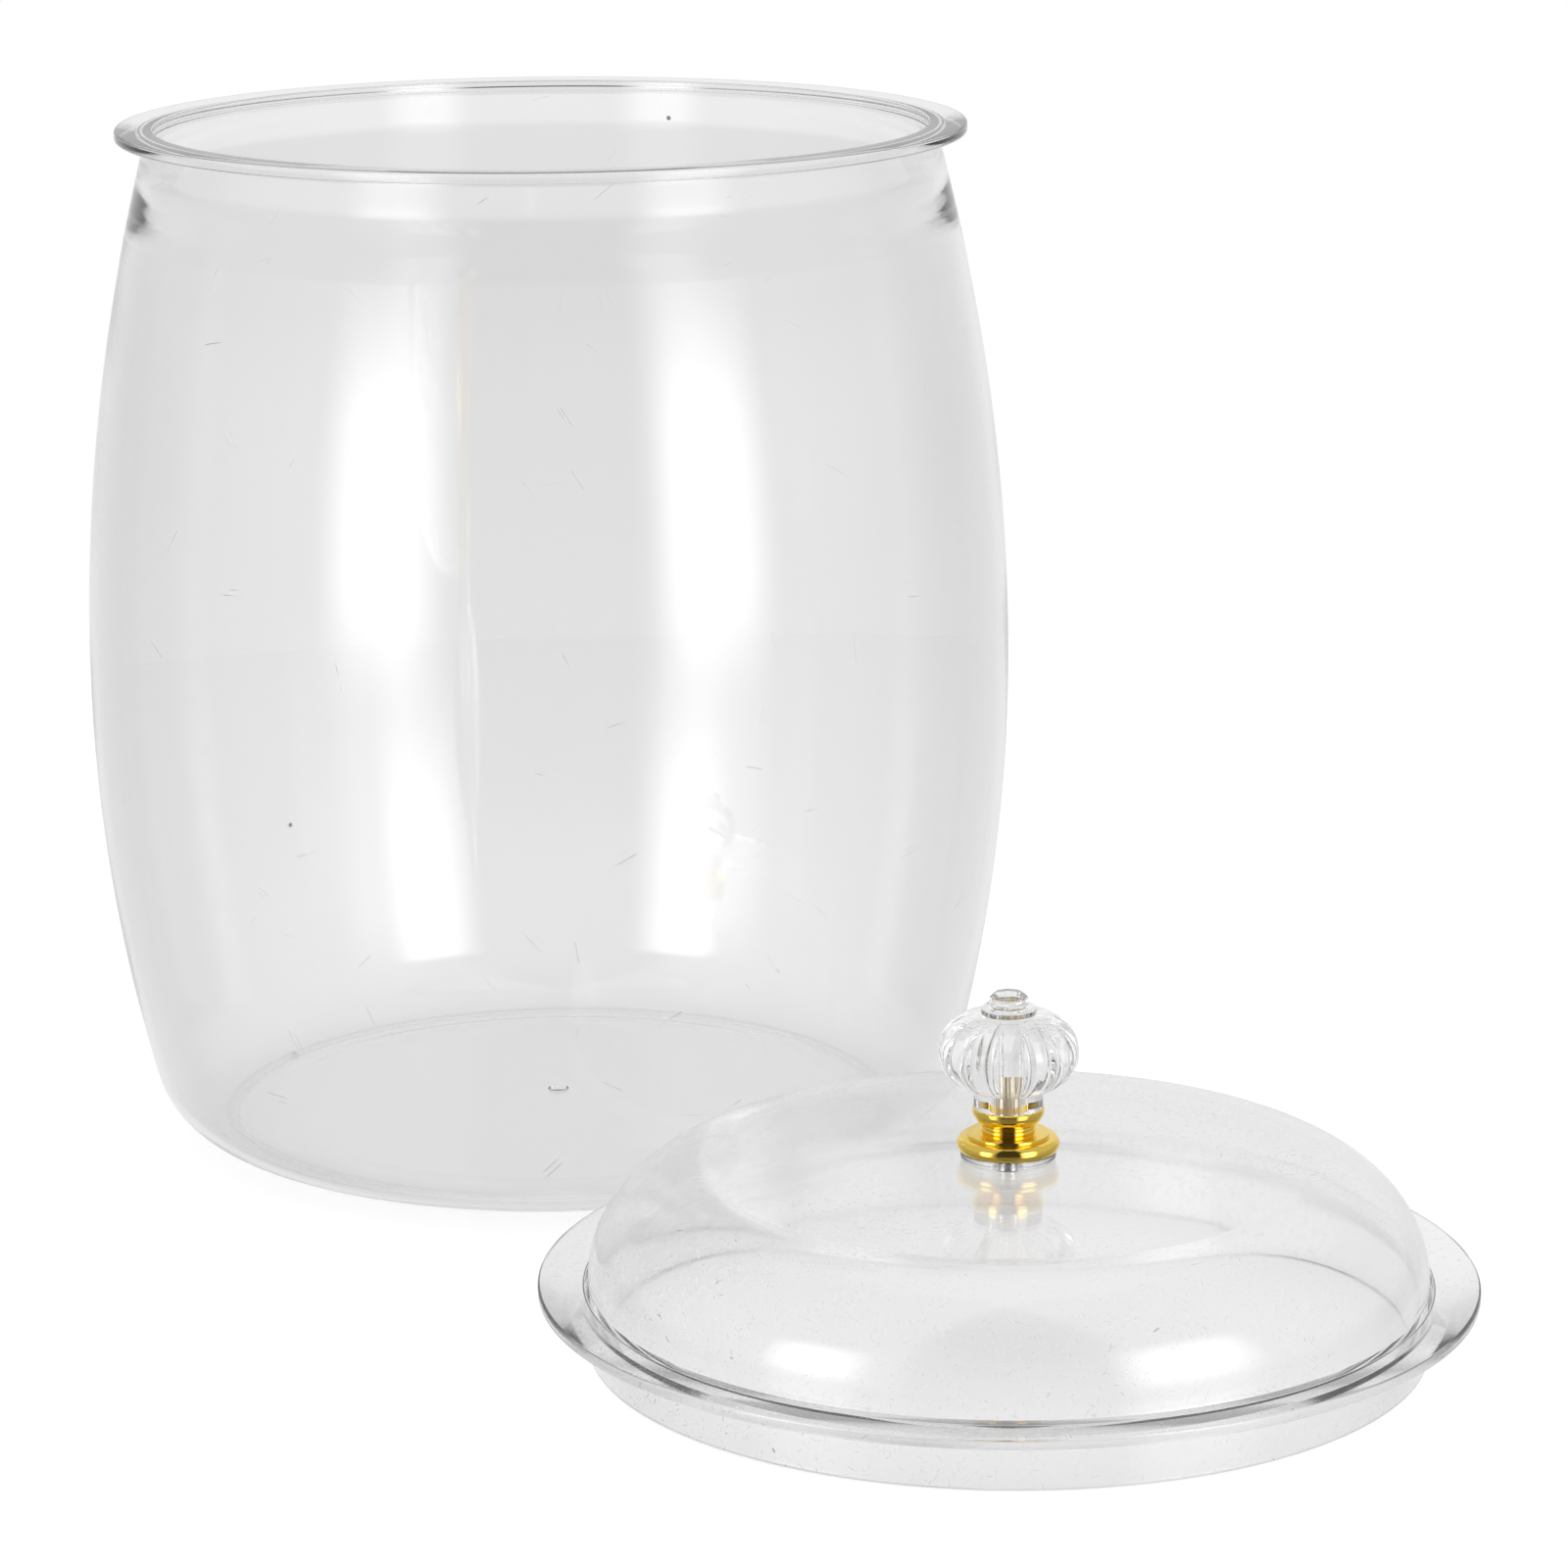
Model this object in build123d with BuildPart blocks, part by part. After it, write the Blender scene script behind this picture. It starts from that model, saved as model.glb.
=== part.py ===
from build123d import *
import math
import os

# Clear plastic storage canister, with its domed lid lying on the floor beside it.
# Millimetres, +Z up. The origin is on the canister's axis, on the floor it stands on.

# Canister body, barrel side
belly_radius = 110.0
belly_height = 113.0
lower_side_radius = 390.0
upper_side_radius = 470.0
neck_draft = 11.0
neck_length = 37.0
side_wall = 2.2

# Canister body, rim and mouth
rim_thickness = 2.4
rim_width = 5.8
neck_wall = 3.2
mouth_chamfer = 0.5
bore_depth = 9.6
bore_blend = 16.0

# Canister body, foot and base
corner_radius = 20.0
foot_width = 8.1
recess_depth = 2.5
base_crown = 2.5
gate_radius = 2.2
gate_height = 0.8

# Lid shell
plug_depth = 12.6
plug_clearance = 0.6
plug_taper = 0.5
lid_flange_thickness = 2.4
lid_overhang = 0.5
dome_setback = 0.6
dome_rise = 25.9
dome_side_radius = 24.5
dome_side_turn = 46.5
dome_shoulder_radius = 27.0
dome_shoulder_turn = 41.5
dome_foot_round = 0.9
lid_wall = 2.2
lid_bearing = -58.9
lid_gap = 1.5

# Screw, washers and threaded insert
screw_radius = 2.0
screw_tip_gap = 3.2
screw_tip_chamfer = 0.5
screw_head_radius = 3.5
screw_head_height = 1.6
screw_head_round = 0.9
cross_slot_width = 1.0
cross_slot_depth = 0.9
screw_hole_clearance = 0.3
thread_clearance = 0.05
steel_washer_radius = 5.0
steel_washer_thickness = 0.5
clear_washer_radius = 10.2
clear_washer_thickness = 1.8
seat_margin = 1.2
insert_wall = 0.6
insert_length = 10.0
insert_clearance = 0.05
knurl_count = 20
knurl_radius = 0.2

# Turned base of the knob, from its foot up
foot_rim_radius = 11.0
foot_rim_height = 3.0
foot_undercut = 0.8
ledge_radius = 8.7
ledge_height = 0.5
ledge_swell = 0.1
ledge_undercut = 0.25
cove_height = 1.1
waist_radius = 5.6
waist_bead = 0.25
bead_height = 0.6
bead_count = 2
cup_radius = 7.7
cup_height = 4.9
cup_wall = 1.1
cup_floor_thickness = 2.9
cup_clearance = 0.1

# Ribbed head of the knob
head_radius = 15.0
head_half_height = 8.6
head_core_radius = 5.4
head_lobes = 14
lobe_depth = 1.4
section_count = 9
section_end_angle = 80.0
stem_above_cup = 2.4
finial_ring_radius = 5.9
finial_ring_height = 1.6
finial_radius = 4.1
finial_height = 3.0
finial_sides = 8
finial_bevel = 0.9
finial_sink = 0.4

# Edge softening, and how closely an edge is matched to its size
plastic_round = 0.6
fine_round = 0.25
match_tolerance = 0.01

# Barrel side, from the belly up to the rim and down to the foot
neck_slope = math.radians(neck_draft)
upper_centre = belly_radius - upper_side_radius
lower_centre = belly_radius - lower_side_radius
rim_underside = belly_height + upper_side_radius * math.sin(neck_slope) + neck_length
canister_height = rim_underside + rim_thickness
shoulder_radius = upper_centre + upper_side_radius * math.cos(neck_slope)
neck_radius = shoulder_radius - neck_length * math.tan(neck_slope)
rim_radius = neck_radius + rim_width
mouth_radius = neck_radius - neck_wall
corner_drop = belly_height - corner_radius
corner_reach = lower_side_radius - corner_radius
corner_centre = lower_centre + math.sqrt(corner_reach**2 - corner_drop**2)
corner_angle = math.degrees(math.asin(corner_drop / corner_reach))
recess_radius = corner_centre - foot_width
bore_bottom = canister_height - bore_depth

# Lid sizes, and its place clear of the canister's side
plug_radius = mouth_radius - plug_clearance
lid_flange_radius = rim_radius + lid_overhang
dome_radius = plug_radius - dome_setback
flange_top = plug_depth + lid_flange_thickness
lid_top = flange_top + dome_rise
side_at_flange = lower_centre + math.sqrt(lower_side_radius**2 - (belly_height - flange_top) ** 2)
lid_distance = side_at_flange + lid_flange_radius + lid_gap
lid_x = lid_distance * math.cos(math.radians(lid_bearing))
lid_y = lid_distance * math.sin(math.radians(lid_bearing))
lid_section = Plane(origin=(lid_x, lid_y, 0), x_dir=(1, 0, 0), z_dir=(0, -1, 0))
lid_axis = Axis((lid_x, lid_y, 0), (0, 0, 1))

# Knob stack, from the dome's top up
screw_hole_radius = screw_radius + screw_hole_clearance
insert_bore = screw_radius + thread_clearance
insert_radius = insert_bore + insert_wall
seat_radius = clear_washer_radius + seat_margin
base_bottom = lid_top + clear_washer_thickness
ledge_bottom = base_bottom + foot_rim_height
cove_bottom = ledge_bottom + ledge_height
waist_bottom = cove_bottom + cove_height
cup_bottom = waist_bottom + bead_count * bead_height
cup_rim = cup_bottom + cup_height
cup_floor = cup_bottom + cup_floor_thickness
cup_bore = cup_radius - cup_wall
stem_radius = cup_bore - cup_clearance
head_middle = cup_rim + stem_above_cup + head_half_height
washer_underside = lid_top - lid_wall - steel_washer_thickness
screw_tip = cup_floor + insert_length - screw_tip_gap


def lid_plane(height):
    """Level plane on the lid's axis."""
    return Plane(origin=(lid_x, lid_y, height))


def rings(part, radius, height):
    """Round edges of one radius at one height."""
    return part.edges().filter_by(
        lambda edge: edge.geom_type == GeomType.CIRCLE
        and abs(edge.radius - radius) < match_tolerance
        and abs(edge.arc_center.Z - height) < match_tolerance
    )


def barrel_side(inset):
    """Foot corner, lower side and upper side of the barrel, inset from its outer face."""
    CenterArc((corner_centre, corner_radius), corner_radius - inset, -90, 90 - corner_angle)
    CenterArc((lower_centre, belly_height), lower_side_radius - inset, -corner_angle, corner_angle)
    return CenterArc((upper_centre, belly_height), upper_side_radius - inset, 0, neck_draft)


def dome_side(inset):
    """Dome's side and shoulder, inset from its outer face, then its crown up to the flat seat."""
    side = JernArc((dome_radius - inset, flange_top), (0, 1), dome_side_radius - inset, dome_side_turn)
    shoulder = JernArc(side @ 1, side % 1, dome_shoulder_radius - inset, dome_shoulder_turn)
    return TangentArc(shoulder @ 1, (seat_radius, lid_top - inset), tangent=shoulder % 1)


# Canister body: one blown shell with a rim, a plain mouth bore and a pushed-up base
with BuildPart() as canister_body:
    with BuildSketch(Plane.XZ):
        with BuildLine():
            base_centre = (0, recess_depth + base_crown)
            crown = TangentArc(base_centre, (recess_radius, recess_depth), tangent=(1, 0))
            Polyline(crown @ 1, (recess_radius, 0), (corner_centre, 0))
            outer = barrel_side(0)
            top = Polyline(
                outer @ 1,
                (neck_radius, rim_underside),
                (rim_radius, rim_underside),
                (rim_radius, canister_height),
                (mouth_radius, canister_height),
                (mouth_radius, bore_bottom),
            )
            inner = barrel_side(side_wall)
            blend_height = bore_bottom - bore_blend
            blend_radius = (inner @ 1).X - (blend_height - (inner @ 1).Y) * math.tan(neck_slope)
            cone = Line(inner @ 1, (blend_radius, blend_height))
            cone_direction = (math.sin(neck_slope), -math.cos(neck_slope))
            Spline(top @ 1, cone @ 1, tangents=[(0, -1), cone_direction])
            floor_edge = recess_radius + side_wall
            step_top = recess_depth + side_wall
            Polyline((corner_centre, side_wall), (floor_edge, side_wall), (floor_edge, step_top))
            floor_centre = (0, step_top + base_crown)
            floor = TangentArc(floor_centre, (floor_edge, step_top), tangent=(1, 0))
            Line(floor @ 0, crown @ 0)
        make_face()
    revolve(axis=Axis.Z)
    with BuildSketch(Plane.XY.offset(recess_depth + base_crown - gate_height)):
        Circle(gate_radius)
    extrude(amount=gate_height + side_wall / 2)
    fillet(rings(canister_body, rim_radius, canister_height), plastic_round)
    fillet(rings(canister_body, rim_radius, rim_underside), plastic_round)
    fillet(rings(canister_body, floor_edge, step_top), plastic_round)
    chamfer(rings(canister_body, mouth_radius, canister_height), mouth_chamfer)
canister_body.part.label = "canister_body"

# Lid shell: dome, flange and plug skirt in one, with a hole for the knob's screw
with BuildPart() as lid_shell:
    with BuildSketch(lid_section):
        with BuildLine():
            outer_crown = dome_side(0)
            Polyline(
                (dome_radius, flange_top),
                (lid_flange_radius, flange_top),
                (lid_flange_radius, plug_depth),
                (plug_radius, plug_depth),
                (plug_radius - plug_taper, 0),
                (plug_radius - plug_taper - lid_wall, 0),
                (dome_radius - lid_wall, flange_top),
            )
            inner_crown = dome_side(lid_wall)
            Polyline(
                inner_crown @ 1,
                (screw_hole_radius, lid_top - lid_wall),
                (screw_hole_radius, lid_top),
                outer_crown @ 1,
            )
        make_face()
    revolve(axis=lid_axis)
    fillet(rings(lid_shell, lid_flange_radius, flange_top), plastic_round)
    fillet(rings(lid_shell, lid_flange_radius, plug_depth), plastic_round)
    fillet(rings(lid_shell, dome_radius, flange_top), dome_foot_round)
    fillet(rings(lid_shell, plug_radius - plug_taper, 0), plastic_round)
lid_shell.part.label = "lid_shell"

# Steel washer under the dome
with BuildPart() as steel_washer:
    with BuildSketch(lid_plane(washer_underside)):
        Circle(steel_washer_radius)
        Circle(screw_hole_radius, mode=Mode.SUBTRACT)
    extrude(amount=steel_washer_thickness)
    fillet(rings(steel_washer, steel_washer_radius, washer_underside), fine_round)
steel_washer.part.label = "steel_washer"

# Clear washer between the dome and the knob
with BuildPart() as clear_washer:
    with BuildSketch(lid_plane(lid_top)):
        Circle(clear_washer_radius)
        Circle(screw_hole_radius, mode=Mode.SUBTRACT)
    extrude(amount=clear_washer_thickness)
    fillet(rings(clear_washer, clear_washer_radius, base_bottom), fine_round)
    fillet(rings(clear_washer, clear_washer_radius, lid_top), fine_round)
clear_washer.part.label = "clear_washer"

# Turned base: rolled foot, ledge, cove, beaded waist and a cup for the head's stem
with BuildPart() as knob_base:
    with BuildSketch(lid_section):
        with BuildLine():
            roll_foot = foot_rim_radius - foot_undercut
            roll = ThreePointArc(
                (roll_foot, base_bottom),
                (foot_rim_radius, base_bottom + foot_rim_height / 2),
                (roll_foot, ledge_bottom),
            )
            ledge = ThreePointArc(
                (ledge_radius, ledge_bottom),
                (ledge_radius + ledge_swell, ledge_bottom + ledge_height / 2),
                (ledge_radius - ledge_undercut, cove_bottom),
            )
            Line(roll @ 1, ledge @ 0)
            TangentArc(ledge @ 1, (waist_radius, waist_bottom), tangent=(-1, 0))
            for bead in range(bead_count):
                bead_foot = waist_bottom + bead * bead_height
                ThreePointArc(
                    (waist_radius, bead_foot),
                    (waist_radius + waist_bead, bead_foot + bead_height / 2),
                    (waist_radius, bead_foot + bead_height),
                )
            bowl_top = (cup_radius, cup_rim - plastic_round)
            bowl = TangentArc(bowl_top, (waist_radius, cup_bottom), tangent=(0, -1))
            Polyline(
                bowl @ 0,
                (cup_radius, cup_rim),
                (cup_bore, cup_rim),
                (cup_bore, cup_floor),
                (screw_hole_radius, cup_floor),
                (screw_hole_radius, base_bottom),
                roll @ 0,
            )
        make_face()
    revolve(axis=lid_axis)
    fillet(rings(knob_base, cup_radius, cup_rim), fine_round)
knob_base.part.label = "knob_base"

# Ribbed head: lobed sections lofted over the stem, a ring and a cut finial on top
with BuildPart() as knob_head:
    for level in range(section_count):
        angle = math.radians(section_end_angle * (2 * level / (section_count - 1) - 1))
        crest = head_core_radius + (head_radius - head_core_radius) * math.cos(angle)
        valley = crest - lobe_depth * math.cos(angle)
        with BuildSketch(lid_plane(head_middle + head_half_height * math.sin(angle))):
            with BuildLine():
                for lobe in range(head_lobes):
                    step_angle = 360 / head_lobes
                    start = lobe * step_angle - 90 - step_angle / 2
                    ThreePointArc(
                        Vector(valley, 0).rotate(Axis.Z, start),
                        Vector(crest, 0).rotate(Axis.Z, start + step_angle / 2),
                        Vector(valley, 0).rotate(Axis.Z, start + step_angle),
                    )
            make_face()
    loft()
    with BuildSketch(lid_plane(cup_floor)):
        Circle(stem_radius)
    extrude(amount=head_middle - cup_floor)
    ring_bottom = head_middle + head_half_height - finial_sink
    with BuildSketch(lid_plane(ring_bottom)):
        Circle(finial_ring_radius)
    extrude(amount=finial_ring_height)
    ring_top = ring_bottom + finial_ring_height
    fillet(rings(knob_head, finial_ring_radius, ring_top), plastic_round)
    with BuildSketch(lid_plane(ring_top)):
        RegularPolygon(finial_radius, finial_sides)
    extrude(amount=finial_height)
    chamfer(knob_head.faces().sort_by(Axis.Z)[-1].edges(), finial_bevel)
    with BuildSketch(lid_plane(cup_floor)):
        Circle(insert_radius + insert_clearance)
    extrude(amount=insert_length + insert_clearance, mode=Mode.SUBTRACT)
knob_head.part.label = "knob_head"

# Threaded insert: a knurled brass sleeve in the head's stem
with BuildPart() as knob_insert:
    with BuildSketch(lid_plane(cup_floor)):
        Circle(insert_radius)
        with PolarLocations(insert_radius, knurl_count):
            Circle(knurl_radius, mode=Mode.SUBTRACT)
        Circle(insert_bore, mode=Mode.SUBTRACT)
    extrude(amount=insert_length)
knob_insert.part.label = "knob_insert"

# Screw: pan head under the steel washer, shank up through the dome into the insert
with BuildPart() as knob_screw:
    with BuildSketch(lid_plane(washer_underside)):
        Circle(screw_head_radius)
    extrude(amount=-screw_head_height)
    head_bottom = washer_underside - screw_head_height
    fillet(rings(knob_screw, screw_head_radius, head_bottom), screw_head_round)
    with BuildSketch(lid_plane(head_bottom)):
        Rectangle(screw_head_radius, cross_slot_width)
        Rectangle(cross_slot_width, screw_head_radius)
    extrude(amount=cross_slot_depth, mode=Mode.SUBTRACT)
    with BuildSketch(lid_plane(washer_underside)):
        Circle(screw_radius)
    extrude(amount=screw_tip - washer_underside)
    chamfer(rings(knob_screw, screw_radius, screw_tip), screw_tip_chamfer)
knob_screw.part.label = "knob_screw"

os.makedirs("parts", exist_ok=True)
for piece in (
    canister_body,
    lid_shell,
    steel_washer,
    clear_washer,
    knob_base,
    knob_head,
    knob_insert,
    knob_screw,
):
    export_step(piece.part, f"parts/{piece.part.label}.step")

print("canister height", round(canister_height, 2), "and rim radius", round(rim_radius, 2))
print("mouth radius", round(mouth_radius, 3), "with its bore down to", round(bore_bottom, 3))
print("recess radius", round(recess_radius, 3))
print("lid axis at", round(lid_x, 3), round(lid_y, 3), "and dome top at", round(lid_top, 2))
print("screw length", round(screw_tip - washer_underside, 2))
print("knob top at", round(ring_top + finial_height, 2))
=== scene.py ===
import math

import bmesh
import bpy
from mathutils import Matrix, Vector


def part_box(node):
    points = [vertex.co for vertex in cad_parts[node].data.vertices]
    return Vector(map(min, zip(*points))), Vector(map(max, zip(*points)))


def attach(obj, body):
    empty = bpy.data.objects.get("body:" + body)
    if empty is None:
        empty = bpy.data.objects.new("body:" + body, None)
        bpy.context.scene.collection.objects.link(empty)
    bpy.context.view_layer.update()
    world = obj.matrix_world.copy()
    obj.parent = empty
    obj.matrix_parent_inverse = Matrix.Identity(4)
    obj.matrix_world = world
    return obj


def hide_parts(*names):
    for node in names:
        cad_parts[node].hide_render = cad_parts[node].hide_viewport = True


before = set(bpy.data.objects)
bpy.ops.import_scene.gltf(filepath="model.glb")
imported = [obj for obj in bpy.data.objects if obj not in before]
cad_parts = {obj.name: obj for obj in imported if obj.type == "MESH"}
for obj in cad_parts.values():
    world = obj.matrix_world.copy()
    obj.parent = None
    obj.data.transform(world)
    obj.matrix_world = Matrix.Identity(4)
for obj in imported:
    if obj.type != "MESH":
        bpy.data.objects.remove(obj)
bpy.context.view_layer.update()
print("frame loaded")

mm = 0.001               # sizes are written in millimetres, and the meshes are in metres
fullTurn = 2 * math.pi
mergeDistance = 1e-6     # metres

# Plain Standard colours, and enough bounces to see through the lid and the canister together
scene = bpy.context.scene
scene.view_settings.view_transform = "Standard"
scene.cycles.max_bounces = 40
scene.cycles.transmission_bounces = 40
scene.cycles.glossy_bounces = 12
scene.cycles.transparent_max_bounces = 40

# Camera: a long lens that looks a little down on the rim
cameraSpot = {
    "place": (55.88, -1250.09, 384.56),
    "focalLength": 121.96,
    "sensor": 36.0,
    "tiltDown": 13.63,   # degrees
    "roll": -0.378,
    "nearest": 0.05,     # metres
    "farthest": 50.0,
}


def makeCamera(spot):
    data = bpy.data.cameras.new("camera")
    data.lens = spot["focalLength"]
    data.sensor_width = spot["sensor"]
    data.clip_start = spot["nearest"]
    data.clip_end = spot["farthest"]
    camera = bpy.data.objects.new("camera", data)
    tilt = Matrix.Rotation(math.radians(90 - spot["tiltDown"]), 4, "X")
    roll = Matrix.Rotation(math.radians(spot["roll"]), 4, "Z")
    camera.matrix_world = Matrix.Translation(Vector(spot["place"]) * mm) @ tilt @ roll
    scene.collection.objects.link(camera)
    scene.camera = camera


makeCamera(cameraSpot)
print("camera placed")


# Outlines are lists of (radius, height), with angles in degrees from straight outward
def arcRun(centre, radius, start, end, steps):
    angles = [math.radians(start + (end - start) * i / steps) for i in range(steps + 1)]
    return [(centre[0] + radius * math.cos(a), centre[1] + radius * math.sin(a)) for a in angles]


def arcInto(start, angle, end, steps):     # leaves start square to angle and ends at end
    outward = Vector((math.cos(math.radians(angle)), math.sin(math.radians(angle))))
    chord = Vector(end) - Vector(start)
    radius = -chord.length_squared / (2 * chord.dot(outward))
    centre = Vector(start) - outward * radius
    last = Vector(end) - centre
    side = angle if radius > 0 else angle + 180
    turn = (math.degrees(math.atan2(last.y, last.x)) - side + 180) % 360 - 180
    return arcRun(centre, abs(radius), side, side + turn, steps)


def roundCorners(corners, steps=5):        # corners are (radius, height, rounding)
    points = []
    for i, (r, z, rounding) in enumerate(corners):
        here = Vector((r, z))
        if rounding == 0 or i in (0, len(corners) - 1):
            points.append((r, z))
            continue
        back = (Vector(corners[i - 1][:2]) - here).normalized()
        ahead = (Vector(corners[i + 1][:2]) - here).normalized()
        half = back.angle(ahead) / 2
        middle = here + (back + ahead).normalized() * rounding / math.sin(half)
        first = here + back * rounding / math.tan(half) - middle
        last = here + ahead * rounding / math.tan(half) - middle
        turn = first.angle_signed(last)
        for k in range(steps + 1):
            spoke = first.copy()
            spoke.rotate(Matrix.Rotation(-turn * k / steps, 2))
            points.append(tuple(middle + spoke))
    return points


def spinOutline(outline, axisPoint, steps, closed):
    bm = bmesh.new()
    corners = [bm.verts.new(((axisPoint[0] + r) * mm, axisPoint[1] * mm, z * mm)) for r, z in outline]
    edges = [bm.edges.new(pair) for pair in zip(corners, corners[1:])]
    if closed:
        edges.append(bm.edges.new((corners[-1], corners[0])))
    centre = (axisPoint[0] * mm, axisPoint[1] * mm, 0)
    bmesh.ops.spin(
        bm,
        geom=corners + edges,
        cent=centre,
        axis=(0, 0, 1),
        angle=fullTurn,
        steps=steps,
        use_merge=True,
    )
    bmesh.ops.remove_doubles(bm, verts=bm.verts, dist=mergeDistance)
    return bm


def finishPiece(name, bm, body, replaced, material, sharpAngle=35):
    bmesh.ops.recalc_face_normals(bm, faces=bm.faces)
    mesh = bpy.data.meshes.new(name)
    bm.to_mesh(mesh)
    bm.free()
    mesh.shade_smooth()
    mesh.set_sharp_from_angle(angle=math.radians(sharpAngle))
    mesh.materials.append(material)
    piece = bpy.data.objects.new(name, mesh)
    scene.collection.objects.link(piece)
    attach(piece, body)
    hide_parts(replaced)
    print(name, "has", len(mesh.polygons), "faces")
    return piece


# Node helpers: one call adds a node, and sets each input to a number, a colour or a socket
def addNode(tree, kind, inputs=None, **settings):
    node = tree.nodes.new("ShaderNode" + kind)
    for key, value in settings.items():
        setattr(node, key, value)
    for key, value in (inputs or {}).items():
        if isinstance(value, bpy.types.NodeSocket):
            tree.links.new(value, node.inputs[key])
        else:
            node.inputs[key].default_value = value
    return node


def calculate(tree, operation, a, b=0.0, clamp=True):
    return addNode(tree, "Math", {0: a, 1: b}, operation=operation, use_clamp=clamp).outputs[0]


def vectorMath(tree, operation, a, b=None, output=0):
    inputs = {0: a} if b is None else {0: a, 1: b}
    return addNode(tree, "VectorMath", inputs, operation=operation).outputs[output]


def remap(tree, value, fromLow, fromHigh, toLow, toHigh):
    inputs = {"Value": value, "From Min": fromLow, "From Max": fromHigh}
    inputs.update({"To Min": toLow, "To Max": toHigh})
    return addNode(tree, "MapRange", inputs, interpolation_type="SMOOTHSTEP").outputs[0]


def mixValues(tree, share, low, high):
    return addNode(tree, "Mix", {0: share, 2: low, 3: high}, data_type="FLOAT").outputs[0]


def blendColours(tree, share, low, high):
    node = addNode(tree, "Mix", data_type="RGBA")
    for key, value in ((0, share), (6, low), (7, high)):
        if isinstance(value, bpy.types.NodeSocket):
            tree.links.new(value, node.inputs[key])
        else:
            node.inputs[key].default_value = value
    return node.outputs[2]


def noise(tree, coordinates, scale, detail, roughness=0.55, distortion=0.0):
    inputs = {"Vector": coordinates, "Scale": scale, "Detail": detail}
    inputs.update({"Roughness": roughness, "Distortion": distortion})
    return addNode(tree, "TexNoise", inputs).outputs[0]


def placed(tree, coordinates, offset, stretch=(1, 1, 1)):
    inputs = {"Vector": coordinates, "Location": offset, "Scale": stretch}
    return addNode(tree, "Mapping", inputs).outputs[0]


def newMaterial(name):
    material = bpy.data.materials.new(name)
    material.use_nodes = True
    tree = material.node_tree
    tree.nodes.clear()
    return material, tree


def objectCoordinates(tree):
    return addNode(tree, "TexCoord").outputs["Object"]


markEdge = {
    "core": 0.4,             # share of a scratch's half width that is at full strength
    "middle": 0.6,           # share of a scratch's or speck's reach that is at full strength
    "reshuffle": 37.0,       # makes a second random number from the first
}


def hairScratches(tree, coordinates, scale, width, length, share):     # a straight hair in some cells
    cells = addNode(tree, "TexVoronoi", {"Vector": coordinates, "Scale": scale})
    colour, reach = cells.outputs["Color"], cells.outputs["Distance"]
    fromMiddle = vectorMath(tree, "SUBTRACT", coordinates, cells.outputs["Position"])
    across = vectorMath(tree, "NORMALIZE", vectorMath(tree, "SUBTRACT", colour, (0.5, 0.5, 0.5)))
    offset = vectorMath(tree, "DOT_PRODUCT", fromMiddle, across, "Value")
    offset = calculate(tree, "ABSOLUTE", offset, clamp=False)
    thin = remap(tree, offset, width * mm * markEdge["core"], width * mm, 1.0, 0.0)
    near = remap(tree, reach, length * markEdge["middle"], length, 1.0, 0.0)
    chance = addNode(tree, "SeparateColor", {"Color": colour}).outputs[0]
    chance = calculate(tree, "MULTIPLY", chance, markEdge["reshuffle"], clamp=False)
    chance = calculate(tree, "FRACT", chance, clamp=False)
    chosen = calculate(tree, "LESS_THAN", chance, share)
    return calculate(tree, "MULTIPLY", chosen, calculate(tree, "MULTIPLY", thin, near))


def dustSpecks(tree, coordinates, scale, size, share):     # a speck in the middle of few cells
    cells = addNode(tree, "TexVoronoi", {"Vector": coordinates, "Scale": scale})
    near = remap(tree, cells.outputs["Distance"], size * markEdge["middle"], size, 1.0, 0.0)
    chosen = addNode(tree, "SeparateColor", {"Color": cells.outputs["Color"]}).outputs[0]
    return calculate(tree, "MULTIPLY", near, calculate(tree, "GREATER_THAN", chosen, 1 - share))


def makeBump(tree, height, strength, distance):
    return addNode(tree, "Bump", {"Height": height, "Strength": strength, "Distance": distance * mm})


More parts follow.
